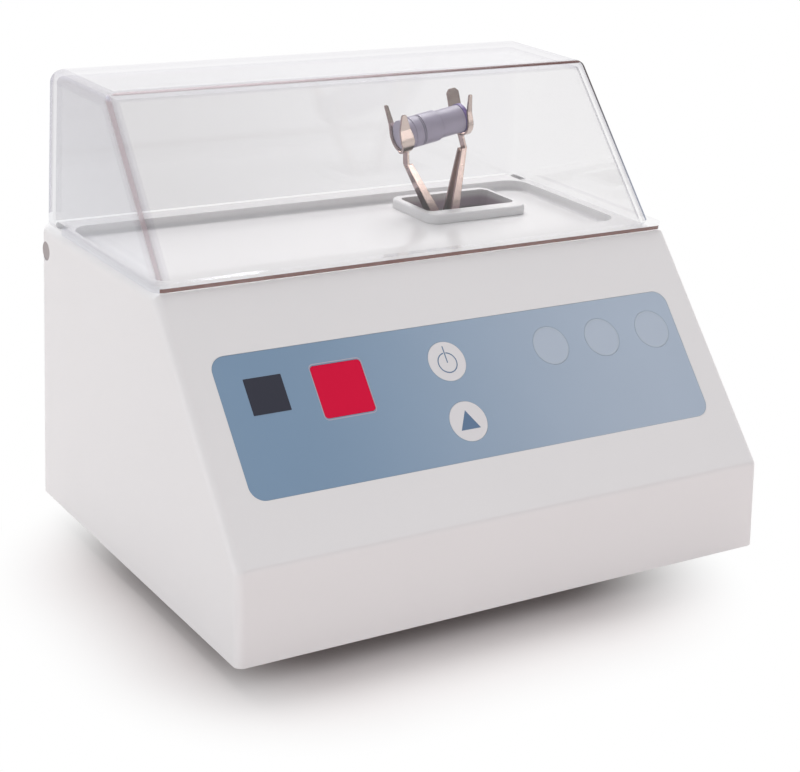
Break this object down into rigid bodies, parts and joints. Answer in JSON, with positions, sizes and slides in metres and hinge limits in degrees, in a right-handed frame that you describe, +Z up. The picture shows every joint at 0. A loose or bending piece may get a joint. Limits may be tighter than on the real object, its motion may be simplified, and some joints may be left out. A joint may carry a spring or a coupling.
{
  "type": "dental amalgamator",
  "caption": "Bench mixer for dental capsules: sloped white housing with keypad, clear hinged lid, and a spring-clip fork that shakes a capsule on a skewed motor bush.",
  "frame": {"origin": "middle of the bounding box's footprint, on the surface the rubber feet stand on", "axes": "+X to the user's right along the front, +Y from the keypad to the back, +Z up"},
  "size_m": [0.22, 0.17, 0.1717],
  "materials": {
    "white_housing": "satin, slightly glossy deck",
    "clear_lid": "clear, polished",
    "printed_label": "satin printed film",
    "red_window": "translucent red, satin",
    "key_white": "satin printed film",
    "key_blue": "satin printed film",
    "rubber": "matte black",
    "plated_steel": "zinc plated",
    "spring_steel": "nickel plated, polished",
    "circuit_board": "green solder mask",
    "black_plastic": "moulded black",
    "component": "moulded",
    "laminated_steel": "stacked sheet, varnished",
    "winding": "enamelled copper wire under tape",
    "brass": "nickel-free brass",
    "bronze": "sintered bronze",
    "magnet": "sintered ferrite",
    "aluminium": "die cast",
    "capsule_lavender": "satin moulded",
    "capsule_plug": "satin moulded"
  },
  "bodies": {
    "chassis": {"housing_shell": "white_housing", "tray_plate": "white_housing", "well_collar": "white_housing", "base_plate": "plated_steel", "rubber_feet": "rubber", "foot_screws": "plated_steel", "base_screws": "plated_steel", "label_overlay": "printed_label", "display_window": "red_window", "display_module": "black_plastic", "keypad_board": "circuit_board", "tact_switches": "black_plastic", "keypad_screws": "plated_steel", "hinge_pins": "black_plastic", "lid_sensor": "black_plastic", "inlet_socket": "black_plastic", "inlet_pins": "brass", "control_board": "circuit_board", "board_components": "component", "board_standoffs": "brass", "board_screws": "plated_steel", "transformer_core": "laminated_steel", "transformer_coil": "winding", "transformer_screws": "plated_steel", "motor_bracket": "plated_steel", "rubber_mounts": "rubber", "mount_screws": "plated_steel", "motor_can": "plated_steel", "motor_end_cap": "black_plastic", "motor_magnets": "magnet", "motor_bearings": "plated_steel", "motor_screws": "plated_steel", "guide_bracket": "plated_steel", "guide_screws": "plated_steel"},
    "lid": {"lid_shell": "clear_lid", "lid_magnet": "magnet"},
    "rotor": {"motor_shaft": "plated_steel", "rotor_core": "laminated_steel", "skew_bush": "plated_steel", "bush_ring": "spring_steel", "counterweight": "brass"},
    "fork": {"fork_hub": "aluminium", "hub_bush": "bronze", "guide_pin": "plated_steel", "fork_arm_left": "spring_steel", "fork_arm_right": "spring_steel", "arm_screws": "plated_steel"},
    "capsule": {"capsule_cap": "capsule_lavender", "capsule_body": "capsule_lavender", "capsule_plug": "capsule_plug"},
    "fuse_drawer": {"fuse_drawer": "black_plastic"},
    "power_button": {"power_button": "key_white"},
    "up_button": {"up_button": "key_white"},
    "preset_button_1": {"preset_button_1": "key_blue"},
    "preset_button_2": {"preset_button_2": "key_blue"},
    "preset_button_3": {"preset_button_3": "key_blue"}
  },
  "joints": [
    {"name": "lid_hinge", "type": "hinge", "parent": "chassis", "child": "lid", "pos_m": [0, 0.0768, 0.1046], "axis": [-1, 0, 0], "range_deg": [0, 95]},
    {"name": "rotor_spin", "type": "hinge", "parent": "chassis", "child": "rotor", "pos_m": [0.0582, 0.051, 0.0735], "axis": [1, 0, 0], "continuous": true},
    {"name": "fork_nutation", "type": "hinge", "parent": "rotor", "child": "fork", "pos_m": [0.0582, 0.051, 0.0735], "axis": [0.9848, 0, 0.1736], "continuous": true},
    {"name": "capsule_lift", "type": "slide", "parent": "fork", "child": "capsule", "axis": [-0.1734, 0.0523, 0.9835], "range_m": [0, 0.012]},
    {"name": "fuse_drawer_pull", "type": "slide", "parent": "chassis", "child": "fuse_drawer", "axis": [0, 1, 0], "range_m": [0, 0.019]},
    {"name": "power_button_press", "type": "slide", "parent": "chassis", "child": "power_button", "axis": [0, 0.7527, -0.6584], "range_m": [0, 0.0005], "stiffness_N_per_m": 400},
    {"name": "up_button_press", "type": "slide", "parent": "chassis", "child": "up_button", "axis": [0, 0.7527, -0.6584], "range_m": [0, 0.0005], "stiffness_N_per_m": 400},
    {"name": "preset_button_1_press", "type": "slide", "parent": "chassis", "child": "preset_button_1", "axis": [0, 0.7527, -0.6584], "range_m": [0, 0.0005], "stiffness_N_per_m": 400},
    {"name": "preset_button_2_press", "type": "slide", "parent": "chassis", "child": "preset_button_2", "axis": [0, 0.7527, -0.6584], "range_m": [0, 0.0005], "stiffness_N_per_m": 400},
    {"name": "preset_button_3_press", "type": "slide", "parent": "chassis", "child": "preset_button_3", "axis": [0, 0.7527, -0.6584], "range_m": [0, 0.0005], "stiffness_N_per_m": 400}
  ],
  "couplings": [
    {"joint": "fork_nutation", "follows": "rotor_spin", "ratio": -1}
  ]
}
